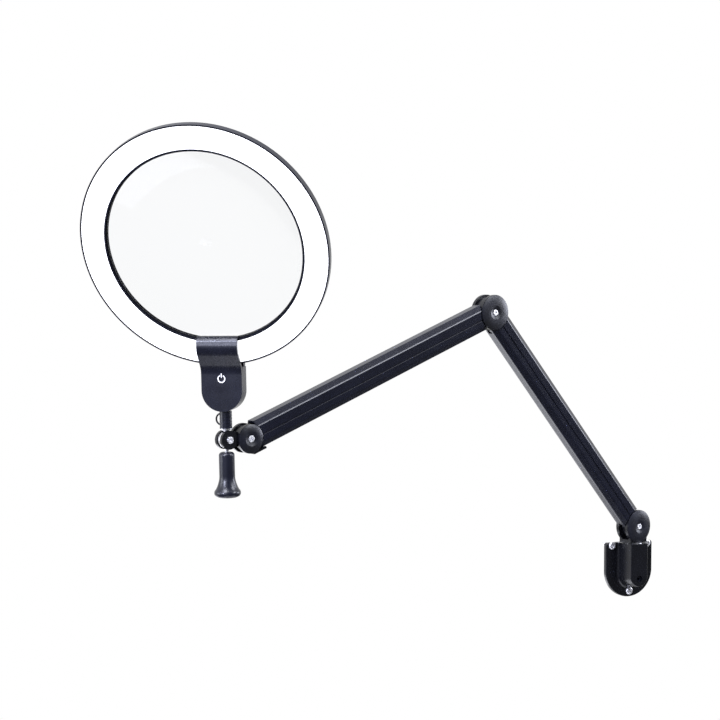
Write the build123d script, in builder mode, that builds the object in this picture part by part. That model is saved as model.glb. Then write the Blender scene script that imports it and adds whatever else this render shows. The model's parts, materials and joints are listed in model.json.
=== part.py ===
"""Wall-mounted ring-light magnifier on a two-section friction arm.

Millimetres. +X runs along the wall, -Y points out of the wall into the room, +Z is up.
The origin is on the back face of the wall plate, midway between its two upper screws.
"""
import os
from math import cos, radians, sin, sqrt

from build123d import *

os.makedirs("parts", exist_ok=True)

# ---------------------------------------------------------------- driving dimensions
SWING = 14.0  # the arm plane's angle out from the wall
UPPER_RISE = 48.1  # the upper arm's slope above level
FORE_DROP = 19.9  # the forearm's slope below level
ARM_LENGTH = 315.0  # pivot to pivot, both arms
HEAD_TURN = 38.8  # the head's facing, from straight out towards -X
HEAD_TILT = 1.4  # the neck's lean along the arm plane
RING_LEAN = 22.0  # the ring's forward lean on the head

PLATE_HALF = 29.0
PLATE_TOP = 3.0
PLATE_BOTTOM = -57.0
PLATE_THICK = 4.5
WALL_SCREW_X = 22.0
LOW_SCREW_Z = -50.5
BOSS_HALF = 10.3
BOSS_FRONT = 25.0
BOSS_BOTTOM = -43.0
BOSS_FOOT_R = 2.6
BOSS_FLARE = 3.8  # how much wider the boss is at its foot, each side

SPIGOT_R = 6.0
SPIGOT_OUT = 12.0  # the spigot's distance from the wall
SPIGOT_BOTTOM = -38.0
SHOULDER_Z = 21.4
RUNNING = 0.05  # radial clearance of every turning fit

HUB_R = 17.7
SMALL_HUB_R = 13.4
TONGUE_HALF = 4.0
EAR_IN = 4.65
EAR_OUT = 8.0
SMALL_EAR_OUT = 7.5
BOLT_R = 2.5

ARM_HALF_HEIGHT = 13.0
ARM_HALF_WIDTH = 8.0
ARM_TOP_HALF = 4.6
ARM_SIDE_HALF = 7.6
ARM_WALL = 1.7
TUBE_GAP_R = 18.5  # radius of the hollow in a tube's end that faces a turning hub
PLUG_DEPTH = 36.0

LINK_LENGTH = 21.7
LINK_R = 11.5
EYE_R = 8.6
BARREL_R = 7.6
BARREL_HALF = 2.5
SPINDLE_R = 2.4

RING_R = 112.5
RING_HOLE_R = 90.5
RING_DEPTH = 6.2
RING_WALL = 1.4
RING_AHEAD = 49.1  # the ring's centre, ahead of the neck
RING_UP = 172.1  # and above the tilt joint
LENS_R = 88.5
LENS_EDGE = 2.4
LENS_DOME = 7.0

BODY_HALF = 19.0
BODY_BACK = -4.6
COVER_BACK = 6.9
COVER_FRONT = 9.4
BODY_BOTTOM = 26.0
BODY_TOP = 66.0
BODY_WALL = 2.0

# ---------------------------------------------------------------- working directions
UP = Vector(0, 0, 1)
OUTWARD = Vector(-cos(radians(SWING)), -sin(radians(SWING)), 0)  # along the arm plane
DEEP = Vector(-sin(radians(SWING)), cos(radians(SWING)), 0)  # across it, to the wall


def slope(angle):
    """A direction in the arm plane, at an angle above level."""
    return OUTWARD * cos(radians(angle)) + UP * sin(radians(angle))


SHOULDER = Vector(0, -SPIGOT_OUT, SHOULDER_Z)
ELBOW = SHOULDER + slope(UPPER_RISE) * ARM_LENGTH
WRIST = ELBOW + slope(-FORE_DROP) * ARM_LENGTH
TILT = WRIST + OUTWARD * LINK_LENGTH

SHOULDER_PLANE = Plane(SHOULDER, x_dir=OUTWARD, z_dir=DEEP)
UPPER_PLANE = Plane(SHOULDER, x_dir=slope(UPPER_RISE), z_dir=DEEP)
UPPER_END = Plane(ELBOW, x_dir=slope(UPPER_RISE), z_dir=DEEP)
FORE_PLANE = Plane(ELBOW, x_dir=slope(-FORE_DROP), z_dir=DEEP)
FORE_END = Plane(WRIST, x_dir=slope(-FORE_DROP), z_dir=DEEP)
LINK_PLANE = Plane(WRIST, x_dir=OUTWARD, z_dir=DEEP)
BARREL_PLANE = Plane(TILT, x_dir=slope(-HEAD_TILT), z_dir=DEEP)

NECK_UP = slope(90 - HEAD_TILT)
LEVEL_FACING = Vector(-sin(radians(HEAD_TURN)), -cos(radians(HEAD_TURN)), 0)
FACING = (LEVEL_FACING - NECK_UP * LEVEL_FACING.dot(NECK_UP)).normalized()
ACROSS = FACING.cross(NECK_UP) * -1
NECK_PLANE = Plane(TILT, x_dir=ACROSS, z_dir=NECK_UP)
SIDE_PLANE = Plane(TILT, x_dir=FACING, z_dir=ACROSS * -1)
RING_CENTRE = TILT + FACING * RING_AHEAD + NECK_UP * RING_UP
RING_NORMAL = FACING * cos(radians(RING_LEAN)) - NECK_UP * sin(radians(RING_LEAN))
RING_PLANE = Plane(RING_CENTRE, x_dir=ACROSS, z_dir=RING_NORMAL)


def face_plane(ahead):
    """A plane across the head, seen from the front, at a distance ahead of the neck."""
    return Plane(TILT + FACING * ahead, x_dir=ACROSS, z_dir=FACING)


def finish(builder, name):
    builder.part.label = name
    export_step(builder.part, f"parts/{name}.step")


# ---------------------------------------------------------------- wall bracket
BOSS_ARC_Z = BOSS_BOTTOM + BOSS_HALF
SOCKET_R = SPIGOT_R + RUNNING + 1.2
SOCKET_PLANE = Plane((0, -SPIGOT_OUT, PLATE_TOP), z_dir=(0, 0, 1))
SOCKET_DEPTH = PLATE_TOP - SPIGOT_BOTTOM + 1.0
CLAMP_Z = -34.8
CLAMP_R = 3.0
SHANK_R = 2.7  # the plain part under each wall screw's head
THREAD_R = 2.1
THREAD_LENGTH = 12.0
WALL_SCREWS = {
    "wall_screw_left": (-WALL_SCREW_X, 0),
    "wall_screw_right": (WALL_SCREW_X, 0),
    "wall_screw_low": (0, LOW_SCREW_Z),
}
FRONT = Plane((0, 0, 0), x_dir=(1, 0, 0), z_dir=(0, -1, 0))


def u_outline(half, top, arc_centre):
    """A closed U: straight sides from top down to a half circle."""
    with BuildSketch() as outline:
        with BuildLine():
            Polyline((-half, arc_centre), (-half, top), (half, top), (half, arc_centre))
            ThreePointArc((half, arc_centre), (0, arc_centre - half), (-half, arc_centre))
        make_face()
    return outline.sketch


with BuildPart() as wall_plate:
    with BuildSketch(FRONT) as outline:
        add(u_outline(PLATE_HALF, PLATE_TOP, PLATE_BOTTOM + PLATE_HALF))
        fillet(outline.vertices().group_by(Axis.Y)[-1], 3)
    extrude(amount=PLATE_THICK)
    fillet(wall_plate.faces().sort_by(Axis.Y)[0].edges(), 1.0)
    with BuildSketch(FRONT.offset(PLATE_THICK - 1)):
        add(u_outline(BOSS_HALF + BOSS_FLARE, PLATE_TOP + 6, BOSS_ARC_Z))
    extrude(amount=BOSS_FRONT - PLATE_THICK + 1, taper=10)
    boss_foot = wall_plate.edges().filter_by(lambda edge: abs(edge.center().Y + PLATE_THICK) < 0.01)
    fillet(boss_foot.filter_by(lambda edge: abs((edge @ 0.5).X) < BOSS_HALF + BOSS_FLARE + 1), BOSS_FOOT_R)
    fillet(wall_plate.faces().sort_by(Axis.Y)[0].edges(), 1.2)
    with BuildSketch(Plane.XY.offset(PLATE_TOP)):
        Rectangle(4 * PLATE_HALF, 4 * BOSS_FRONT)
    extrude(amount=10, mode=Mode.SUBTRACT)
    with BuildSketch(SOCKET_PLANE):
        Circle(SOCKET_R)
    extrude(amount=-SOCKET_DEPTH, mode=Mode.SUBTRACT)
    with BuildSketch(FRONT.offset(PLATE_THICK)):
        with Locations((0, LOW_SCREW_Z)):
            Circle(5.2)
    extrude(amount=8, mode=Mode.SUBTRACT)
    with Locations(FRONT.offset(PLATE_THICK)):
        with Locations(*WALL_SCREWS.values()):
            Hole(SHANK_R + 0.05, depth=PLATE_THICK + 1)
    with Locations(FRONT.offset(BOSS_FRONT)):
        with Locations((0, CLAMP_Z)):
            CounterBoreHole(CLAMP_R + 0.02, 3.7, 2.5, depth=BOSS_FRONT - SPIGOT_OUT)
finish(wall_plate, "wall_plate")

with BuildPart() as socket_bush:
    with BuildSketch(SOCKET_PLANE):
        Circle(SOCKET_R - 0.01)
        Circle(SPIGOT_R + RUNNING, mode=Mode.SUBTRACT)
    extrude(amount=-(SOCKET_DEPTH - 1))
    with Locations(FRONT.offset(BOSS_FRONT)):
        with Locations((0, CLAMP_Z)):
            Hole(CLAMP_R + 0.05, depth=BOSS_FRONT - SPIGOT_OUT)
finish(socket_bush, "socket_bush")

with BuildPart() as clamp_screw:
    with BuildSketch(FRONT.offset(SPIGOT_OUT + SPIGOT_R + RUNNING + 0.02)):
        with Locations((0, CLAMP_Z)):
            Circle(CLAMP_R)
    extrude(amount=5.0)
    with BuildSketch(FRONT.offset(SPIGOT_OUT + SPIGOT_R + RUNNING + 5.02)):
        with Locations((0, CLAMP_Z)):
            RegularPolygon(1.5, 6, major_radius=False)
    extrude(amount=-2.5, mode=Mode.SUBTRACT)
finish(clamp_screw, "clamp_screw")

for screw_name, (screw_x, screw_z) in WALL_SCREWS.items():
    with BuildPart() as wall_screw:
        with BuildSketch(FRONT.offset(PLATE_THICK)):
            with Locations((screw_x, screw_z)):
                Circle(4.0)
        extrude(amount=2.2)
        fillet(wall_screw.edges().sort_by(Axis.Y)[0], 1.4)
        with BuildSketch(FRONT.offset(PLATE_THICK)):
            with Locations((screw_x, screw_z)):
                Circle(SHANK_R)
        extrude(amount=-PLATE_THICK)
        with BuildSketch(FRONT):
            with Locations((screw_x, screw_z)):
                Circle(THREAD_R)
        extrude(amount=-THREAD_LENGTH)
        with BuildSketch(FRONT.offset(PLATE_THICK + 2.2)):
            with Locations((screw_x, screw_z)):
                Rectangle(4.2, 0.9, rotation=25)
                Rectangle(0.9, 4.2, rotation=25)
        extrude(amount=-1.2, mode=Mode.SUBTRACT)
    finish(wall_screw, screw_name)

# ---------------------------------------------------------------- base swivel
WEB_TOP = -13.7  # the floor of the shoulder fork, below the pivot

with BuildPart() as spigot:
    with BuildSketch(Plane((0, -SPIGOT_OUT, SPIGOT_BOTTOM), z_dir=(0, 0, 1))):
        Circle(SPIGOT_R)
    extrude(amount=SHOULDER_Z + WEB_TOP - SPIGOT_BOTTOM)
    chamfer(spigot.edges().group_by(Axis.Z)[0], 0.8)
finish(spigot, "spigot")

with BuildPart() as shoulder_fork:
    with BuildSketch(SHOULDER_PLANE):
        Circle(HUB_R)
        with Locations((0, -HUB_R / 2 - 3)):
            Rectangle(25, HUB_R - 6)
    extrude(amount=EAR_OUT, both=True)
    with BuildSketch(SHOULDER_PLANE):
        with Locations((0, WEB_TOP)):
            Rectangle(60, 60, align=(Align.CENTER, Align.MIN))
    extrude(amount=EAR_IN, both=True, mode=Mode.SUBTRACT)
    with BuildSketch(SHOULDER_PLANE):
        Circle(BOLT_R + 0.01)
    extrude(amount=EAR_OUT + 1, both=True, mode=Mode.SUBTRACT)
    with BuildSketch(Plane((0, -SPIGOT_OUT, 0), z_dir=(0, 0, 1))):
        Circle(SPIGOT_R + 0.01)
    extrude(amount=SHOULDER_Z + WEB_TOP + 1, mode=Mode.SUBTRACT)
finish(shoulder_fork, "shoulder_fork")

with BuildPart() as thrust_washer:
    with BuildSketch(SOCKET_PLANE.offset(0.05)):
        Circle(9.6)
        Circle(SPIGOT_R + RUNNING, mode=Mode.SUBTRACT)
    extrude(amount=0.6)
finish(thrust_washer, "thrust_washer")


# ---------------------------------------------------------------- hinge hardware
def hub_cap(plane, side, radius, seat, socket_r, name):
    """A domed cover with a sunken centre, on the near (-1) or far (+1) ear."""
    dome = 1.9
    profile = Plane(plane.origin, x_dir=plane.x_dir, z_dir=plane.y_dir * -side)
    with BuildPart() as cap:
        with BuildSketch(profile):
            with BuildLine():
                Polyline((socket_r + 3.0, seat + dome - 0.15), (socket_r, seat + 1.0),
                         (socket_r, seat), (radius - 0.3, seat), (radius - 0.3, seat + 0.5))
                ThreePointArc((radius - 0.3, seat + 0.5), (radius * 0.72, seat + dome * 0.76),
                              (socket_r + 3.0, seat + dome - 0.15))
            make_face()
        revolve(axis=Axis(plane.origin, plane.z_dir))
    finish(cap, name)


def hinge_bolt(plane, seat, shaft_r, head_r, head_height, name):
    """A socket-head bolt from the near side, its thread ending under the far nut."""
    with BuildPart() as bolt:
        with BuildSketch(plane.offset(-seat)):
            Circle(head_r)
        extrude(amount=-head_height)
        fillet(bolt.edges().sort_by(Axis(plane.origin, plane.z_dir))[0], 0.4)
        with BuildSketch(plane.offset(-seat)):
            Circle(shaft_r)
        extrude(amount=2 * seat + 1.6)
        with BuildSketch(plane.offset(-seat - head_height)):
            RegularPolygon(head_r * 0.45, 6, major_radius=False)
        extrude(amount=head_height * 0.6, mode=Mode.SUBTRACT)
    finish(bolt, name)


def hinge_nut(plane, seat, shaft_r, flat_r, height, name):
    with BuildPart() as nut:
        with BuildSketch(plane.offset(seat)):
            RegularPolygon(flat_r, 6, major_radius=False)
            Circle(shaft_r + 0.01, mode=Mode.SUBTRACT)
        extrude(amount=height)
    finish(nut, name)


def friction_washers(plane, radius, name):
    """The pair of discs between the tongue and the two ears."""
    with BuildPart() as washers:
        for side in (-1, 1):
            with BuildSketch(plane.offset(side * (TONGUE_HALF + 0.04))):
                Circle(radius)
                Circle(BOLT_R + 0.05, mode=Mode.SUBTRACT)
            extrude(amount=side * 0.6)
    finish(washers, name)


HINGES = {
    "shoulder": (SHOULDER_PLANE, HUB_R, EAR_OUT, 11.0),
    "elbow": (UPPER_END, HUB_R, EAR_OUT, 13.0),
    "wrist": (FORE_END, SMALL_HUB_R, SMALL_EAR_OUT, 9.5),
}
for hinge, (hinge_plane, hub_r, seat, washer_r) in HINGES.items():
    hub_cap(hinge_plane, -1, hub_r, seat, 3.8, f"{hinge}_cap_near")
    hub_cap(hinge_plane, 1, hub_r, seat, 4.9, f"{hinge}_cap_far")
    hinge_bolt(hinge_plane, seat, BOLT_R, 3.1, 1.5, f"{hinge}_bolt")
    hinge_nut(hinge_plane, seat, BOLT_R, 4.0, 1.5, f"{hinge}_nut")
    friction_washers(hinge_plane, washer_r, f"{hinge}_washers")


# ---------------------------------------------------------------- arms
def section_plane(plane, along):
    """A plane square across an arm, +X to the near side and +Y to its upper edge."""
    return Plane(plane.origin + plane.x_dir * along, x_dir=plane.z_dir * -1, z_dir=plane.x_dir)


def arm_section(inset):
    """The arm's eight-sided section, drawn in from the outside by a wall thickness."""
    top = ARM_HALF_HEIGHT - inset
    side = ARM_HALF_WIDTH - inset
    top_half = ARM_TOP_HALF - inset * 0.5
    side_half = ARM_SIDE_HALF - inset * 0.3
    quarter = [(top_half, top), (side, side_half)]
    right = quarter + [(x, -y) for x, y in reversed(quarter)]
    Polygon(*(right + [(-x, -y) for x, y in right]), align=None)


RIDGE_R = 3.2  # the soft edge between the side and the sloping shoulder
COVER_START = 17.0
COVER_HALF = 2.6
COVER_DEEP = 1.2


def arm_tube(plane, far_hub_r, name):
    """An extruded tube, hollowed round the hub at each end, with a grooved side."""
    with BuildSketch() as hollow:
        arm_section(ARM_WALL)
    with BuildPart() as tube:
        with BuildSketch(section_plane(plane, 10)) as section:
            arm_section(0)
            ridges = section.vertices().filter_by(lambda corner: abs(corner.Y) < ARM_SIDE_HALF + 1)
            fillet(ridges, RIDGE_R)
            fillet(section.vertices().filter_by(lambda corner: abs(corner.Y) > ARM_HALF_HEIGHT - 0.1), 0.9)
            for side in (-1, 1):
                with Locations((side * ARM_HALF_WIDTH, -1.2)):
                    Rectangle(1.3, 1.7, mode=Mode.SUBTRACT)
            add(hollow.sketch, mode=Mode.SUBTRACT)
            with Locations((0, -ARM_HALF_HEIGHT)):
                Rectangle(2 * COVER_HALF, 2 * COVER_DEEP, mode=Mode.SUBTRACT)
        extrude(amount=ARM_LENGTH - 20)
        with BuildSketch(plane):
            Circle(TUBE_GAP_R)
            with Locations((ARM_LENGTH, 0)):
                Circle(far_hub_r + 0.3)
        extrude(amount=ARM_HALF_WIDTH + 1, both=True, mode=Mode.SUBTRACT)
    finish(tube, name)


def tongue_fitting(plane, disc_r, name):
    """The end whose single tongue turns between two ears."""
    with BuildPart() as fitting:
        with BuildSketch(section_plane(plane, TUBE_GAP_R + 0.8)):
            arm_section(ARM_WALL + 0.05)
        extrude(amount=PLUG_DEPTH - TUBE_GAP_R)
        with BuildSketch(plane):
            Circle(disc_r)
            Rectangle(TUBE_GAP_R + 4, 17, align=(Align.MIN, Align.CENTER))
        extrude(amount=TONGUE_HALF, both=True)
        with BuildSketch(plane):
            Circle(BOLT_R + RUNNING)
        extrude(amount=TONGUE_HALF + 1, both=True, mode=Mode.SUBTRACT)
    finish(fitting, name)


LIP_THICK = 1.8  # the bottom lip that closes the wrist fork


def fork_fitting(plane, hub_r, ear_out, lip, name):
    """The end with two round ears, standing back from the turning tongue."""
    crotch = hub_r + 0.8
    inner_half = ARM_HALF_WIDTH - ARM_WALL - 0.05
    with BuildPart() as fitting:
        with BuildSketch(section_plane(plane, -PLUG_DEPTH)):
            arm_section(ARM_WALL + 0.05)
        extrude(amount=PLUG_DEPTH - crotch)
        with BuildSketch(plane):
            Circle(hub_r)
        extrude(amount=ear_out, both=True)
        with BuildSketch(plane):
            with Locations((-crotch - 3, 0)):
                Rectangle(crotch, 14, align=(Align.MIN, Align.CENTER))
        extrude(amount=inner_half, both=True)
        if lip:
            with BuildSketch(plane):
                with Locations((1, -ARM_HALF_HEIGHT - 0.02)):
                    Rectangle(crotch, LIP_THICK, align=(Align.MAX, Align.MAX))
            extrude(amount=ear_out, both=True)
        with BuildSketch(plane):
            Rectangle(2 * crotch, 80)
        extrude(amount=EAR_IN, both=True, mode=Mode.SUBTRACT)
        if lip:
            with BuildSketch(plane):
                with Locations((1, -hub_r - 0.2)):
                    Rectangle(crotch, LIP_THICK - 0.6, align=(Align.MAX, Align.MAX))
            extrude(amount=ear_out, both=True)
        with BuildSketch(plane):
            Circle(BOLT_R + 0.01)
        extrude(amount=ear_out + 1, both=True, mode=Mode.SUBTRACT)
    finish(fitting, name)


def cable_cover(plane, name):
    """The snap-in strip over the wire channel on the arm's underside."""
    with BuildPart() as cover:
        with BuildSketch(section_plane(plane, COVER_START)):
            with Locations((0, -ARM_HALF_HEIGHT)):
                Rectangle(2 * COVER_HALF - 0.1, COVER_DEEP - 0.05, align=(Align.CENTER, Align.MIN))
        extrude(amount=ARM_LENGTH - 2 * COVER_START)
    finish(cover, name)


SPRING_R = 4.4
SPRING_START = 62.0
SPRING_END = 232.0
COIL_PITCH = 3.4
WIRE_R = 0.8


def arm_spring(plane, name):
    """A close-wound extension spring, its coils drawn as touching beads."""
    coils = int((SPRING_END - SPRING_START) / COIL_PITCH)
    crest = SPRING_R
    valley = SPRING_R - WIRE_R * 0.6
    with BuildPart() as spring:
        with BuildSketch(plane):
            with BuildLine():
                for turn in range(coils):
                    start = SPRING_START + turn * COIL_PITCH
                    ThreePointArc((start, valley), (start + COIL_PITCH / 2, crest),
                                  (start + COIL_PITCH, valley))
                end = SPRING_START + coils * COIL_PITCH
                Polyline((end, valley), (end, SPRING_R - 2 * WIRE_R),
                         (SPRING_START, SPRING_R - 2 * WIRE_R), (SPRING_START, valley))
            make_face()
        revolve(axis=Axis(plane.origin, plane.x_dir))
    finish(spring, name)


ROD_PINS = (48.0, 246.0)  # the cross pins, along the arm


def draw_rods(plane, name):
    """Two eyed rods, from the tube's cross pins to the spring's end plugs."""
    with BuildPart() as rods:
        for pin_at, spring_at, inward in zip(ROD_PINS, (SPRING_START, SPRING_END), (1, -1)):
            with BuildSketch(plane):
                with Locations((pin_at, 0)):
                    Circle(4.0)
            extrude(amount=1.5, both=True)
            with BuildSketch(section_plane(plane, pin_at)):
                Circle(1.4)
            extrude(amount=spring_at - pin_at)
            with BuildSketch(section_plane(plane, spring_at - inward * 3)):
                Circle(SPRING_R - 2 * WIRE_R - 0.05)
            extrude(amount=inward * 10)
        with BuildSketch(plane):
            with Locations(*[(pin_at, 0) for pin_at in ROD_PINS]):
                Circle(1.55)
        extrude(amount=3, both=True, mode=Mode.SUBTRACT)
    finish(rods, name)


def anchor_pins(plane, name):
    """The two cross pins that hold the spring's rods, pressed through the tube."""
    with BuildPart() as pins:
        with BuildSketch(plane):
            with Locations(*[(pin_at, 0) for pin_at in ROD_PINS]):
                Circle(1.5)
        extrude(amount=ARM_HALF_WIDTH - ARM_WALL - 0.05, both=True)
    finish(pins, name)


for arm, arm_plane, far_r in (("upper", UPPER_PLANE, HUB_R), ("fore", FORE_PLANE, SMALL_HUB_R)):
    arm_tube(arm_plane, far_r, f"{arm}_tube")
    cable_cover(arm_plane, f"{arm}_cable_cover")
    arm_spring(arm_plane, f"{arm}_spring")
    draw_rods(arm_plane, f"{arm}_spring_rods")
    anchor_pins(arm_plane, f"{arm}_anchor_pins")

tongue_fitting(UPPER_PLANE, 13.2, "upper_tongue")
fork_fitting(UPPER_END, HUB_R, EAR_OUT, False, "upper_fork")
tongue_fitting(FORE_PLANE, 15.5, "fore_tongue")
fork_fitting(FORE_END, SMALL_HUB_R, SMALL_EAR_OUT, True, "fore_fork")

# ---------------------------------------------------------------- wrist link and tilt joint
SLOT_HALF = BARREL_HALF + 0.1
EYE_HALF = 5.6
TILT_SCREW_R = 2.0
SLOT_END = LINK_LENGTH - BARREL_R - 0.6

with BuildPart() as wrist_link:
    with BuildSketch(LINK_PLANE):
        Circle(LINK_R)
        Rectangle(LINK_LENGTH, 13, align=(Align.MIN, Align.CENTER))
    extrude(amount=TONGUE_HALF, both=True)
    with BuildSketch(LINK_PLANE):
        with Locations((LINK_LENGTH, 0)):
            Circle(EYE_R)
        Circle(SMALL_HUB_R + 0.4, mode=Mode.SUBTRACT)
    extrude(amount=EYE_HALF, both=True)
    with BuildSketch(LINK_PLANE):
        with Locations((SLOT_END, 0)):
            Rectangle(40, 40, align=(Align.MIN, Align.CENTER))
    extrude(amount=SLOT_HALF, both=True, mode=Mode.SUBTRACT)
    with BuildSketch(LINK_PLANE):
        Circle(BOLT_R + RUNNING)
        with Locations((LINK_LENGTH, 0)):
            Circle(TILT_SCREW_R + 0.01)
    extrude(amount=EYE_HALF + 1, both=True, mode=Mode.SUBTRACT)
finish(wrist_link, "wrist_link")

hinge_bolt(BARREL_PLANE, EYE_HALF, TILT_SCREW_R, 3.1, 1.6, "tilt_screw")
hinge_nut(BARREL_PLANE, EYE_HALF, TILT_SCREW_R, 3.3, 1.4, "tilt_nut")

SPINDLE_SHOULDER = 28.4
SPINDLE_TOP = 31.4
THREAD_END_R = 1.4
SEAT_UP = 8.8  # the seat's underside clears the link's round eyes at every tilt
SEAT_THICK = 1.0
COLLAR_BOTTOM = SEAT_UP + SEAT_THICK + 0.65
GRIP_TOP = -11.0
GRIP_BORE_END = -30.0
STEM_R = 1.9

with BuildPart() as tilt_spindle:
    with BuildSketch(BARREL_PLANE):
        Circle(BARREL_R)
    extrude(amount=BARREL_HALF, both=True)
    with BuildSketch(NECK_PLANE):
        Circle(SPINDLE_R)
    extrude(amount=SPINDLE_SHOULDER)
    with BuildSketch(NECK_PLANE):
        Circle(THREAD_END_R)
    extrude(amount=SPINDLE_TOP)
    with BuildSketch(NECK_PLANE.offset(SEAT_UP)):
        Circle(4.6)
    extrude(amount=SEAT_THICK)
    with BuildSketch(NECK_PLANE):
        Circle(STEM_R)
    extrude(amount=GRIP_BORE_END)
    with BuildSketch(BARREL_PLANE):
        Circle(TILT_SCREW_R + RUNNING)
    extrude(amount=BARREL_HALF + 1, both=True, mode=Mode.SUBTRACT)
finish(tilt_spindle, "tilt_spindle")

with BuildPart() as neck_washer:
    with BuildSketch(NECK_PLANE.offset(SEAT_UP + SEAT_THICK)):
        Circle(5.9)
        Circle(SPINDLE_R + 0.01, mode=Mode.SUBTRACT)
    extrude(amount=0.6)
finish(neck_washer, "neck_washer")

NUT_UP = SPINDLE_SHOULDER + 0.02

with BuildPart() as neck_nut:
    with BuildSketch(NECK_PLANE.offset(NUT_UP)):
        Circle(2.5)
        Circle(THREAD_END_R + 0.01, mode=Mode.SUBTRACT)
    extrude(amount=2.2)
finish(neck_nut, "neck_nut")

GRIP_R = 7.1
GRIP_FOOT = -51.8
BELL_R = 12.0

with BuildPart() as handle_grip:
    with BuildSketch(Plane(TILT, x_dir=ACROSS, z_dir=NECK_UP.cross(ACROSS) * -1)):
        with BuildLine():
            Polyline((0, GRIP_FOOT), (0, GRIP_TOP), (STEM_R + 1.6, GRIP_TOP))
            ThreePointArc((STEM_R + 1.6, GRIP_TOP), (GRIP_R - 0.9, GRIP_TOP - 0.9),
                          (GRIP_R, GRIP_TOP - 3.4))
            Line((GRIP_R, GRIP_TOP - 3.4), (GRIP_R, -33))
            Spline((GRIP_R, -33), (8.3, -39.5), (11.2, -45.5), tangents=((0, -1), (0.62, -0.78)))
            ThreePointArc((11.2, -45.5), (BELL_R, -48.3), (10.6, -50.9))
            Line((10.6, -50.9), (8.6, GRIP_FOOT))
            Line((8.6, GRIP_FOOT), (0, GRIP_FOOT))
        make_face()
    revolve(axis=Axis(TILT, NECK_UP))
    with BuildSketch(NECK_PLANE.offset(GRIP_BORE_END - 0.5)):
        Circle(STEM_R + 0.01)
    extrude(amount=GRIP_TOP - GRIP_BORE_END + 1, mode=Mode.SUBTRACT)
finish(handle_grip, "handle_grip")

# ---------------------------------------------------------------- head housing
COLLAR_R = 5.6
COLLAR_LENGTH = BODY_BOTTOM - COLLAR_BOTTOM - 0.02
BODY_ARC = BODY_BOTTOM + BODY_HALF

with BuildPart() as neck_collar:
    with BuildSketch(NECK_PLANE.offset(COLLAR_BOTTOM)):
        Circle(COLLAR_R)
        Circle(SPINDLE_R + RUNNING, mode=Mode.SUBTRACT)
    extrude(amount=COLLAR_LENGTH)
    for rib in range(5):
        with BuildSketch(NECK_PLANE.offset(COLLAR_BOTTOM + 1.6 + rib * 2.7)):
            Circle(COLLAR_R + 1)
            Circle(COLLAR_R - 0.35, mode=Mode.SUBTRACT)
        extrude(amount=0.7, mode=Mode.SUBTRACT)
finish(neck_collar, "neck_collar")

RING_BACK_LINE = Vector(sin(radians(RING_LEAN)), cos(radians(RING_LEAN)))  # up the ring, seen side-on
RING_BACKWARD = Vector(-cos(radians(RING_LEAN)), sin(radians(RING_LEAN)))
RING_MIDDLE = Vector(RING_AHEAD, RING_UP)
RING_SCREW_SPOTS = [(side * 11, 12 - RING_R) for side in (-1, 1)]


def behind_ring(down, back):
    """A side-view point: down the ring from its centre and back from its front face."""
    return RING_MIDDLE - RING_BACK_LINE * down + RING_BACKWARD * back


with BuildPart() as housing_rear:
    with BuildSketch(face_plane(BODY_BACK)):
        add(u_outline(BODY_HALF, BODY_TOP, BODY_ARC))
    extrude(amount=COVER_BACK - BODY_BACK - 0.02)
    with BuildSketch(face_plane(BODY_BACK + BODY_WALL)):
        add(u_outline(BODY_HALF - BODY_WALL, BODY_TOP - BODY_WALL, BODY_ARC))
    extrude(amount=COVER_BACK - BODY_BACK, mode=Mode.SUBTRACT)
    fillet(housing_rear.faces().sort_by(Axis(TILT, FACING))[0].edges(), 1.2)
    with BuildSketch(SIDE_PLANE):
        inner_top = behind_ring(RING_HOLE_R - 0.6, RING_DEPTH + 0.05)
        inner_low = behind_ring(RING_R + 5.5, RING_DEPTH + 0.05)
        outer_top = behind_ring(RING_HOLE_R - 0.6, RING_DEPTH + 2.6)
        outer_low = behind_ring(RING_R - 1.0, RING_DEPTH + 2.6)
        Polygon(inner_top, outer_top, outer_low, (BODY_BACK, 69), (BODY_BACK, 63), (inner_low.X, 63),
                inner_low, align=None)
    extrude(amount=BODY_HALF - 1, both=True)
    with BuildSketch(NECK_PLANE.offset(BODY_BOTTOM - 1)):
        Circle(SPINDLE_R + RUNNING)
    extrude(amount=4, mode=Mode.SUBTRACT)
    with BuildSketch(RING_PLANE.offset(-RING_DEPTH - 3)):
        with Locations(*RING_SCREW_SPOTS):
            Circle(1.21)
    extrude(amount=4, mode=Mode.SUBTRACT)
finish(housing_rear, "housing_rear")

HOOK_OUT = 84.7  # the hook's outer and inner faces, from the ring's centre
HOOK_IN = 87.2
HOOK_DEEP = 1.9  # how far it reaches behind the ring's front rim
COVER_GAP = 1.2  # between the ring's front and the leaning part of the strap
COVER_THICK = COVER_FRONT - COVER_BACK


def bend_from_centre(cover, forward):
    """How far down the ring a line ahead of it meets the cover's upright face."""
    return (RING_AHEAD + forward * cos(radians(RING_LEAN)) - cover) / sin(radians(RING_LEAN))


BEND_OUT = behind_ring(bend_from_centre(COVER_FRONT, COVER_GAP + COVER_THICK), -COVER_GAP - COVER_THICK)
BEND_IN = behind_ring(bend_from_centre(COVER_BACK, COVER_GAP), -COVER_GAP)
CREST_OUT = behind_ring(95.0, -8.6)  # where the strap stands furthest forward
CREST_IN = behind_ring(95.3, -5.95)
ROLL_OUT = behind_ring(HOOK_OUT, -3.2)
ROLL_IN = behind_ring(HOOK_IN, -1.7)
STRAP_BENDS = ((BEND_OUT, 14), (BEND_IN, 16), (CREST_OUT, 14), (CREST_IN, 11.5), (ROLL_OUT, 4.5), (ROLL_IN, 2))

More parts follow.
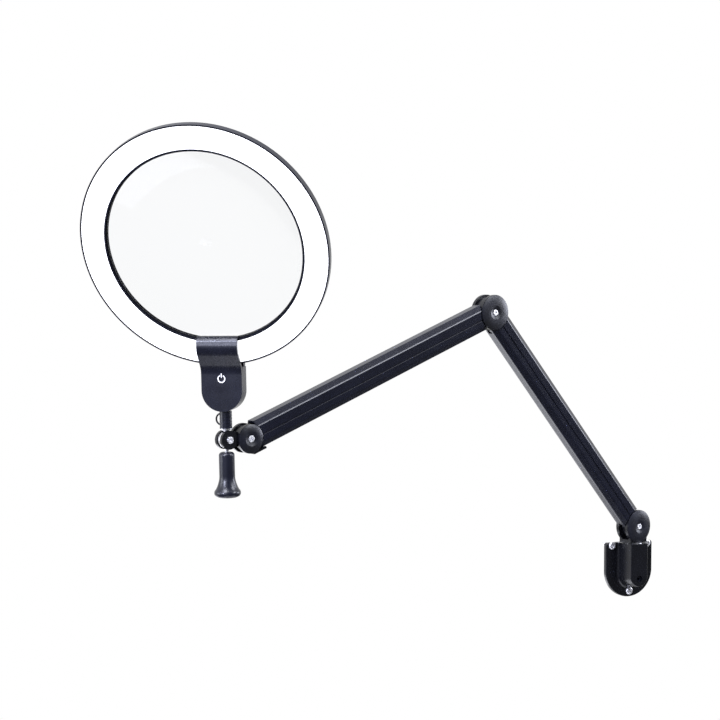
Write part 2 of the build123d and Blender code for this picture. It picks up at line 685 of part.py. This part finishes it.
with BuildPart() as housing_strap:
    with BuildSketch(SIDE_PLANE) as strap_side:
        Polygon((COVER_FRONT, BODY_BOTTOM - 1), BEND_OUT, CREST_OUT, ROLL_OUT,
                behind_ring(HOOK_OUT, HOOK_DEEP), behind_ring(HOOK_IN, HOOK_DEEP), ROLL_IN, CREST_IN,
                BEND_IN, (COVER_BACK, BODY_BOTTOM - 1), align=None)
        for corner, bend_r in STRAP_BENDS:
            fillet(strap_side.vertices().sort_by_distance((corner.X, corner.Y, 0))[0], bend_r)
    extrude(amount=BODY_HALF, both=True)
    with BuildSketch(face_plane(BODY_BACK - 5)):
        add(u_outline(BODY_HALF, 110, BODY_ARC))
    extrude(amount=40, mode=Mode.INTERSECT)
finish(housing_strap, "housing_strap")

with BuildPart() as driver_board:
    with BuildSketch(face_plane(-0.6)):
        with Locations((0, 50)):
            RectangleRounded(26, 24, 2)
    extrude(amount=1.2)
    with BuildSketch(face_plane(0.6)):
        with Locations((-7, 55)):
            Rectangle(7, 7)
        with Locations((5, 44)):
            Rectangle(10, 4)
    extrude(amount=1.6)
    with BuildSketch(face_plane(0.6)):
        with Locations((0, 55.5)):
            Circle(4)
    extrude(amount=COVER_BACK - 0.6 - 0.05)
    with BuildSketch(face_plane(BODY_BACK + BODY_WALL)):
        with Locations((-10, 42), (10, 42), (-10, 58), (10, 58)):
            Circle(1.6)
    extrude(amount=2.0)
finish(driver_board, "driver_board")

MARK_Z = 55.5
with BuildPart() as power_mark:
    with BuildSketch(face_plane(COVER_FRONT + 0.01)):
        with Locations((0, MARK_Z)):
            Circle(3.6)
            Circle(2.7, mode=Mode.SUBTRACT)
            with Locations((0, 3)):
                Rectangle(3.0, 4.0, mode=Mode.SUBTRACT)
                Rectangle(0.9, 3.6)
    extrude(amount=0.12)
finish(power_mark, "power_mark")

with BuildPart() as ring_screws:
    with BuildSketch(RING_PLANE.offset(-RING_DEPTH - 2.6)):
        with Locations(*RING_SCREW_SPOTS):
            Circle(2.6)
    extrude(amount=-1.3)
    with BuildSketch(RING_PLANE.offset(-RING_DEPTH - 2.6)):
        with Locations(*RING_SCREW_SPOTS):
            Circle(1.2)
    extrude(amount=3.6)
finish(ring_screws, "ring_screws")

# ---------------------------------------------------------------- light ring and lens
SHELL_FLOOR = 1.2
LEDGE_R = 87.6
BOARD_TOP = -RING_DEPTH + SHELL_FLOOR + 1.1

with BuildPart() as ring_shell:
    with BuildSketch(RING_PLANE.offset(-RING_DEPTH)):
        Circle(RING_R)
        Circle(RING_HOLE_R - RING_WALL, mode=Mode.SUBTRACT)
    extrude(amount=RING_DEPTH)
    with BuildSketch(RING_PLANE.offset(-RING_DEPTH + SHELL_FLOOR)):
        Circle(RING_R - RING_WALL)
        Circle(RING_HOLE_R, mode=Mode.SUBTRACT)
    extrude(amount=RING_DEPTH, mode=Mode.SUBTRACT)
    with BuildSketch(RING_PLANE.offset(-RING_DEPTH)):
        Circle(RING_HOLE_R - RING_WALL + 0.2)
        Circle(LEDGE_R, mode=Mode.SUBTRACT)
    extrude(amount=0.8)
    with BuildSketch(RING_PLANE.offset(-RING_DEPTH)):
        with Locations(*RING_SCREW_SPOTS):
            Circle(1.21)
    extrude(amount=SHELL_FLOOR, mode=Mode.SUBTRACT)
finish(ring_shell, "ring_shell")

with BuildPart() as led_board:
    with BuildSketch(RING_PLANE.offset(-RING_DEPTH + SHELL_FLOOR + 0.02)):
        Circle(109.5)
        Circle(95, mode=Mode.SUBTRACT)
        with Locations(*RING_SCREW_SPOTS):
            Circle(2, mode=Mode.SUBTRACT)
    extrude(amount=1.0)
finish(led_board, "led_board")

with BuildPart() as led_chips:
    with BuildSketch(RING_PLANE.offset(BOARD_TOP - 0.08)):
        with PolarLocations(104.5, 48):
            Rectangle(2.8, 3.5)
    extrude(amount=0.8)
finish(led_chips, "led_chips")

with BuildPart() as diffuser:
    with BuildSketch(RING_PLANE.offset(-2.4)):
        Circle(RING_R - RING_WALL - 0.03)
        Circle(RING_HOLE_R + 0.03, mode=Mode.SUBTRACT)
    extrude(amount=2.0)
finish(diffuser, "diffuser")

LENS_BACK = -RING_DEPTH + 0.9
LENS_FRONT = LENS_BACK + LENS_EDGE
LENS_SPHERE_R = (LENS_R**2 + LENS_DOME**2) / (2 * LENS_DOME)


def dome_height(radius):
    """The lens surface's rise above its edge, at a distance from the centre."""
    return LENS_DOME - LENS_SPHERE_R + sqrt(LENS_SPHERE_R**2 - radius**2)


with BuildPart() as lens:
    with BuildSketch(Plane(RING_CENTRE, x_dir=ACROSS, z_dir=ACROSS.cross(RING_NORMAL))):
        mid_rise = dome_height(LENS_R / 2)
        with BuildLine():
            ThreePointArc((0, LENS_BACK - LENS_DOME), (LENS_R / 2, LENS_BACK - mid_rise),
                          (LENS_R, LENS_BACK))
            Line((LENS_R, LENS_BACK), (LENS_R, LENS_FRONT))
            ThreePointArc((LENS_R, LENS_FRONT), (LENS_R / 2, LENS_FRONT + mid_rise),
                          (0, LENS_FRONT + LENS_DOME))
            Line((0, LENS_FRONT + LENS_DOME), (0, LENS_BACK - LENS_DOME))
        make_face()
    revolve(axis=Axis(RING_CENTRE, RING_NORMAL))
finish(lens, "lens")

SEAL_R = RING_HOLE_R - RING_WALL - 0.03
with BuildPart() as lens_seal:
    with BuildSketch(RING_PLANE.offset(LENS_BACK)):
        Circle(SEAL_R)
        Circle(LENS_R + 0.02, mode=Mode.SUBTRACT)
    extrude(amount=LENS_EDGE)
finish(lens_seal, "lens_seal")

with BuildPart() as lens_retainer:
    with BuildSketch(RING_PLANE.offset(LENS_FRONT + 0.15)):
        Circle(SEAL_R)
        Circle(88.0, mode=Mode.SUBTRACT)
    extrude(amount=0.9)
finish(lens_retainer, "lens_retainer")

# ---------------------------------------------------------------- wire loop at the neck
WIRE_LOOP_R = 0.8
LOOP_SIDE = ACROSS * -1
loop_plane = Plane(TILT, x_dir=LOOP_SIDE, z_dir=LOOP_SIDE.cross(NECK_UP))
with BuildPart() as neck_wire:
    with BuildLine(loop_plane) as loop_path:
        ThreePointArc((COLLAR_R - 0.3, 23.6), (8.9, 18.6), (COLLAR_R - 0.3, 13.6))
    with BuildSketch(Plane(loop_path.line @ 0, z_dir=loop_path.line % 0)):
        Circle(WIRE_LOOP_R)
    sweep()
finish(neck_wire, "neck_wire")
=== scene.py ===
"""The looks of the wall-mounted ring-light magnifier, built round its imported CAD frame."""
import json
import math

import bpy
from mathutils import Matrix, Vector


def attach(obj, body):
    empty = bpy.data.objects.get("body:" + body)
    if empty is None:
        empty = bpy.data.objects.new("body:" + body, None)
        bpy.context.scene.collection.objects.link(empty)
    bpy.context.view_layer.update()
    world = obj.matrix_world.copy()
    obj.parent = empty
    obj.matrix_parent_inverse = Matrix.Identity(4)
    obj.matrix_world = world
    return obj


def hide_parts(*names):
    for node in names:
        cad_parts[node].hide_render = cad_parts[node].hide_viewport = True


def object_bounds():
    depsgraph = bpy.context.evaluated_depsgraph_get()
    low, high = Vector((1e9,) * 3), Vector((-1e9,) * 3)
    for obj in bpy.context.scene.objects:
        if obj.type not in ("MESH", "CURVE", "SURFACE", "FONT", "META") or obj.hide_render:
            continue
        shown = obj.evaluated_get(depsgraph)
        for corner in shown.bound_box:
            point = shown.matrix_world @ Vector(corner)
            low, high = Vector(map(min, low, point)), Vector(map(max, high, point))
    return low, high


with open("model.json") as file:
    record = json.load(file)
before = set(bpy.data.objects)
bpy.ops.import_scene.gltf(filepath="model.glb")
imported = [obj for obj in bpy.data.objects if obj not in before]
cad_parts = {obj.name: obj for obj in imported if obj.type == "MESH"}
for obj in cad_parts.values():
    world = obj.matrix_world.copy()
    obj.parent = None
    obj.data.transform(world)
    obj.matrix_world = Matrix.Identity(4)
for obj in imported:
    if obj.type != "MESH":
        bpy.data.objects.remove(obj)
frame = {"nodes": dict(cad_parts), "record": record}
cad_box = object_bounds()

# ---------------------------------------------------------------- camera
CAMERA_PLACE = Vector((-1.0789, -1.6831, 0.3199))
CAMERA_AZIMUTH = -24.33
CAMERA_ELEVATION = 3.48
CAMERA_LENS = 91.9  # millimetres, on a 36 mm sensor
SENSOR_WIDTH = 36

camera_data = bpy.data.cameras.new("camera")
camera_data.lens = CAMERA_LENS
camera_data.sensor_width = SENSOR_WIDTH
camera = bpy.data.objects.new("camera", camera_data)
bpy.context.collection.objects.link(camera)
camera.location = CAMERA_PLACE
camera.rotation_euler = (math.radians(90 - CAMERA_ELEVATION), 0, math.radians(CAMERA_AZIMUTH))
bpy.context.scene.camera = camera


# ---------------------------------------------------------------- materials
NOISE_LOW = 0.3  # most of a noise texture lies between these two
NOISE_HIGH = 0.7
GLOSS_SPREAD = 0.02  # how far a coated finish's roughness strays either way
MARK_DEPTH = 0.000012  # machining marks, in metres
OPAL_GRAIN_DEPTH = 0.000008
TRACK_DEPTH = 0.00003  # copper tracks under the solder mask
ACRYLIC_IOR = 1.49


def new_material(name):
    """A fresh node material; returns it, its tree and its principled shader."""
    material = bpy.data.materials.new(name)
    material.use_nodes = True
    tree = material.node_tree
    return material, tree, tree.nodes["Principled BSDF"]


def node(tree, kind, values=None, **settings):
    """One shader node, its unlinked inputs and its settings filled in."""
    made = tree.nodes.new(kind)
    for key, value in settings.items():
        setattr(made, key, value)
    for key, value in (values or {}).items():
        made.inputs[key].default_value = value
    return made


def noise(tree, scale, detail=3.0, roughness=0.5, stretch=(1, 1, 1)):
    """Noise over the object's own metres, stretched along chosen axes."""
    place = node(tree, "ShaderNodeTexCoord")
    mapping = node(tree, "ShaderNodeMapping", {"Scale": stretch})
    made = node(tree, "ShaderNodeTexNoise", {"Scale": scale, "Detail": detail, "Roughness": roughness})
    tree.links.new(place.outputs["Object"], mapping.inputs["Vector"])
    tree.links.new(mapping.outputs["Vector"], made.inputs["Vector"])
    return made.outputs["Fac"]


def ramp(tree, source, low, high, start=NOISE_LOW, end=NOISE_HIGH):
    """A colour between low and high as the source runs from start to end."""
    made = node(tree, "ShaderNodeValToRGB")
    made.color_ramp.elements[0].position = start
    made.color_ramp.elements[1].position = end
    made.color_ramp.elements[0].color = (*low, 1)
    made.color_ramp.elements[1].color = (*high, 1)
    tree.links.new(source, made.inputs["Fac"])
    return made.outputs["Color"]


def spread(tree, source, low, high):
    """A number between low and high as the source runs over a noise texture's usual range."""
    made = node(tree, "ShaderNodeMapRange",
                {"From Min": NOISE_LOW, "From Max": NOISE_HIGH, "To Min": low, "To Max": high})
    tree.links.new(source, made.inputs["Value"])
    return made.outputs["Result"]


def grain(tree, shader, source, depth):
    """A fine relief on the shader, its depth in metres."""
    made = node(tree, "ShaderNodeBump", {"Strength": 1.0, "Distance": depth})
    tree.links.new(source, made.inputs["Height"])
    tree.links.new(made.outputs["Normal"], shader.inputs["Normal"])


def coated(name, dark, light, rough, grain_scale, grain_depth, specular):
    """A painted, anodised or moulded finish: faint cloudy colour, varied gloss, fine grain."""
    material, tree, shader = new_material(name)
    shader.inputs["Specular IOR Level"].default_value = specular
    cloud = noise(tree, 55, 4)
    tree.links.new(ramp(tree, cloud, dark, light), shader.inputs["Base Color"])
    wipe = noise(tree, 140, 5, 0.6)
    tree.links.new(spread(tree, wipe, rough - GLOSS_SPREAD, rough + GLOSS_SPREAD),
                   shader.inputs["Roughness"])
    grain(tree, shader, noise(tree, grain_scale, 2), grain_depth)
    return material


def bare_metal(name, colour, rough, stretch, scale):
    """Plated or turned metal with faint machining marks."""
    material, tree, shader = new_material(name)
    shader.inputs["Metallic"].default_value = 1.0
    marks = noise(tree, scale, 3, 0.55, stretch)
    darker = tuple(channel * 0.82 for channel in colour)
    tree.links.new(ramp(tree, marks, darker, colour), shader.inputs["Base Color"])
    tree.links.new(spread(tree, marks, rough - 0.06, rough + 0.08), shader.inputs["Roughness"])
    grain(tree, shader, marks, MARK_DEPTH)
    return material


def glowing(name, colour, light, strength, rough):
    """Opal plastic or phosphor lit from behind, slightly uneven over its surface; on the white print the
    same glow is painted light, since the print is no lamp.
    """
    material, tree, shader = new_material(name)
    shader.inputs["Roughness"].default_value = rough
    shader.inputs["Emission Strength"].default_value = strength
    cloud = noise(tree, 24, 2)
    dimmer = tuple(channel * 0.985 for channel in light)
    duller = tuple(channel * 0.97 for channel in colour)
    tree.links.new(ramp(tree, cloud, dimmer, light), shader.inputs["Emission Color"])
    tree.links.new(ramp(tree, cloud, duller, colour), shader.inputs["Base Color"])
    grain(tree, shader, noise(tree, 2600, 2), OPAL_GRAIN_DEPTH)
    return material


def lens_glass(name):
    """Clear acrylic whose polish varies a little."""
    material, tree, shader = new_material(name)
    shader.inputs["Base Color"].default_value = (0.985, 0.992, 1.0, 1)
    shader.inputs["Transmission Weight"].default_value = 1.0
    shader.inputs["IOR"].default_value = ACRYLIC_IOR
    tree.links.new(spread(tree, noise(tree, 40, 3), 0.0, 0.012), shader.inputs["Roughness"])
    return material


def solder_mask(name):
    """A pale circuit board with the shadow of copper tracks under its mask."""
    material, tree, shader = new_material(name)
    shader.inputs["Coat Weight"].default_value = 0.5
    shader.inputs["Roughness"].default_value = 0.35
    tracks = noise(tree, 260, 1, 0.2, (1, 1, 1))
    tree.links.new(ramp(tree, tracks, (0.72, 0.74, 0.72), (0.86, 0.87, 0.85), 0.47, 0.53),
                   shader.inputs["Base Color"])
    grain(tree, shader, tracks, TRACK_DEPTH)
    return material


NAVY = (0.0050, 0.0058, 0.0120)
NAVY_LIGHT = (0.0080, 0.0092, 0.0180)
BLACK = (0.0035, 0.0038, 0.0055)
BLACK_LIGHT = (0.0060, 0.0065, 0.0095)

# slot: dark and light colours, roughness, the grain's scale and depth in metres, specular level
COATED = {
    "black_paint": (BLACK, BLACK_LIGHT, 0.26, 900, 0.000005, 0.45),
    "dark_plastic": (BLACK, BLACK_LIGHT, 0.48, 1400, 0.000008, 0.4),
    "satin_black_plastic": (BLACK, NAVY_LIGHT, 0.36, 1400, 0.000006, 0.5),
    "soft_black_plastic": (NAVY, NAVY_LIGHT, 0.27, 1400, 0.000004, 0.5),
    "black_anodised": (NAVY, NAVY_LIGHT, 0.22, 1100, 0.000002, 0.42),
    "black_anodised_ring": (NAVY, NAVY_LIGHT, 0.28, 1100, 0.000003, 0.42),
    "grip_rubber": (NAVY, NAVY_LIGHT, 0.30, 1600, 0.000004, 0.5),
    "seal_rubber": (BLACK, BLACK_LIGHT, 0.62, 1800, 0.000010, 0.3),
    "wire_jacket": (BLACK, BLACK_LIGHT, 0.42, 1800, 0.000006, 0.5),
}

# slot: colour, roughness, how the marks are stretched, and their scale
METALS = {
    "nickel_screw": ((0.95, 0.95, 0.97), 0.50, (1, 1, 1), 160),
    "bright_steel": ((0.84, 0.84, 0.86), 0.34, (1, 1, 6), 420),
    "brass_washer": ((0.72, 0.52, 0.24), 0.32, (1, 1, 1), 420),
    "chrome_washer": ((0.95, 0.95, 0.97), 0.30, (1, 1, 1), 420),
}

# slot: colour, the light's colour, its strength, roughness
GLOWING = {
    # the white print gets a painted glow: it emits light though it is no lamp
    "white_print": ((0.86, 0.87, 0.90), (0.9, 0.92, 1.0), 0.75, 0.4),
    "led_phosphor": ((0.95, 0.85, 0.45), (1.0, 0.98, 0.94), 2.0, 0.5),
    "opal_diffuser": ((0.92, 0.93, 0.95), (0.97, 0.98, 1.0), 1.6, 0.45),
}

MATERIALS = {"circuit_board": solder_mask("circuit_board"), "clear_lens": lens_glass("clear_lens")}
for make, finishes in ((coated, COATED), (bare_metal, METALS), (glowing, GLOWING)):
    for slot_name, values in finishes.items():
        MATERIALS[slot_name] = make(slot_name, *values)

for part in frame["record"]["subparts"]:
    shown = frame["nodes"][part["node"]]
    for place in shown.material_slots:
        place.material = MATERIALS[part["material_slot"]]

# ---------------------------------------------------------------- springs inside the arms
joint_places = {}
for joint in frame["record"]["behaviour"]["joints"]:
    joint_places[joint["name"]] = Vector(joint["pos_m"])

SPRING_START = 0.062  # from the arm's near pivot; all of these in metres
SPRING_LENGTH = 0.170
COIL_PITCH = 0.0017
COIL_RADIUS = 0.0036
COIL_WIRE = 0.0008
STEPS_A_TURN = 10


def coil_spring(name, body, pivot, far_pivot):
    """A close-wound extension spring along an arm, in place of its plain solid."""
    along = (far_pivot - pivot).normalized()
    side = along.orthogonal().normalized()
    other = along.cross(side)
    steps = int(SPRING_LENGTH / COIL_PITCH) * STEPS_A_TURN
    curve = bpy.data.curves.new(name, "CURVE")
    curve.dimensions = "3D"
    curve.bevel_depth = COIL_WIRE
    curve.bevel_resolution = 3
    curve.resolution_u = 2
    line = curve.splines.new("NURBS")
    line.points.add(steps)
    for step in range(steps + 1):
        turn = 2 * math.pi * step / STEPS_A_TURN
        out = side * math.cos(turn) + other * math.sin(turn)
        place = pivot + along * (SPRING_START + SPRING_LENGTH * step / steps) + out * COIL_RADIUS
        line.points[step].co = (*place, 1)
    line.order_u = 3
    line.use_endpoint_u = True
    curve.materials.append(MATERIALS["bright_steel"])
    made = bpy.data.objects.new(name, curve)
    bpy.context.collection.objects.link(made)
    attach(made, body)
    return made


upper_coil = coil_spring("upper_spring_coil", "upper_arm", joint_places["shoulder"], joint_places["elbow"])
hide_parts("upper_spring")
fore_coil = coil_spring("fore_spring_coil", "forearm", joint_places["elbow"], joint_places["wrist_hinge"])
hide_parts("fore_spring")

# ---------------------------------------------------------------- stage and light
low, high = Vector(cad_box[0]), Vector(cad_box[1])
centre = (low + high) / 2
FLOOR_DROP = 0.9  # the floor lies this far below the lamp's lowest point, in metres
FLOOR_SIZE = 1.4
BRIGHT_SIDE = (0, 0.8, 0.6)  # the direction of the studio's bright side: behind and above
DIM_SIDE_LEVEL = 0.12


def pale_floor(name, size, height):
    """A plain pale floor, well below the wall lamp."""
    mesh = bpy.data.meshes.new(name)
    half = size / 2
    mesh.from_pydata([(-half, -half, 0), (half, -half, 0), (half, half, 0), (-half, half, 0)], [],
                     [(0, 1, 2, 3)])
    made = bpy.data.objects.new(name, mesh)
    bpy.context.collection.objects.link(made)
    made.location = (centre.x, centre.y, height)
    material, _, shader = new_material(name)
    shader.inputs["Base Color"].default_value = (0.9, 0.9, 0.92, 1)
    shader.inputs["Roughness"].default_value = 0.9
    mesh.materials.append(material)


def studio_world():
    """White above and behind, dim below and in front, and white wherever it is looked at directly."""
    world = bpy.data.worlds.new("studio")
    world.use_nodes = True
    tree = world.node_tree
    background = tree.nodes["Background"]
    place = node(tree, "ShaderNodeTexCoord")
    towards = node(tree, "ShaderNodeVectorMath", {1: BRIGHT_SIDE}, operation="DOT_PRODUCT")
    level = node(tree, "ShaderNodeMapRange",
                 {"From Min": -0.15, "From Max": 0.4, "To Min": DIM_SIDE_LEVEL, "To Max": 1.0})
    path = node(tree, "ShaderNodeLightPath")
    direct = node(tree, "ShaderNodeMath", operation="MAXIMUM")
    brighter = node(tree, "ShaderNodeMath", operation="MAXIMUM")
    tree.links.new(place.outputs["Generated"], towards.inputs[0])
    tree.links.new(towards.outputs["Value"], level.inputs["Value"])
    tree.links.new(path.outputs["Is Camera Ray"], direct.inputs[0])
    tree.links.new(path.outputs["Is Transmission Ray"], direct.inputs[1])
    tree.links.new(direct.outputs["Value"], brighter.inputs[0])
    tree.links.new(level.outputs["Result"], brighter.inputs[1])
    tree.links.new(brighter.outputs["Value"], background.inputs["Strength"])
    background.inputs["Color"].default_value = (1, 1, 1, 1)
    bpy.context.scene.world = world


def soft_box(name, direction, distance, size, power, colour):
    """An area light aimed at the object's middle, seen neither directly nor through the lens."""
    data = bpy.data.lights.new(name, "AREA")
    data.shape = "RECTANGLE"
    data.size = size[0]
    data.size_y = size[1]
    data.energy = power
    data.color = colour
    made = bpy.data.objects.new(name, data)
    bpy.context.collection.objects.link(made)
    towards = Vector(direction).normalized()
    made.location = centre + towards * distance
    made.rotation_euler = towards.to_track_quat("Z", "Y").to_euler()
    made.visible_camera = False
    made.visible_transmission = False


# name, direction from the lamp's middle, distance, size, watts, colour
SOFT_BOXES = (
    ("key", (0.60, -0.58, 0.52), 2.0, (0.9, 0.7), 28, (0.88, 0.91, 1.0)),
    ("side_right", (0.95, -0.12, 0.14), 2.0, (0.6, 0.7), 18, (0.84, 0.87, 1.0)),
    ("side_left", (-0.96, 0.20, 0.05), 2.0, (0.8, 0.9), 12, (0.88, 0.91, 1.0)),
    ("overhead", (-0.35, -0.15, 0.93), 1.8, (0.8, 0.6), 36, (0.88, 0.90, 1.0)),
    ("upper_left", (-0.58, -0.38, 0.72), 1.9, (0.8, 0.5), 24, (0.84, 0.86, 1.0)),
    ("left_strip", (-0.85, -0.47, 0.26), 2.1, (0.7, 0.22), 32, (0.76, 0.79, 1.0)),
    ("front", (-0.64, -0.75, 0.10), 2.2, (1.2, 0.8), 3, (0.74, 0.79, 1.0)),
    ("under", (-0.20, 0.75, -0.62), 1.8, (1.1, 0.8), 8, (0.90, 0.92, 1.0)),
)

pale_floor("floor", FLOOR_SIZE, low.z - FLOOR_DROP)
studio_world()
for box in SOFT_BOXES:
    soft_box(*box)
bpy.context.scene.view_settings.view_transform = "Standard"
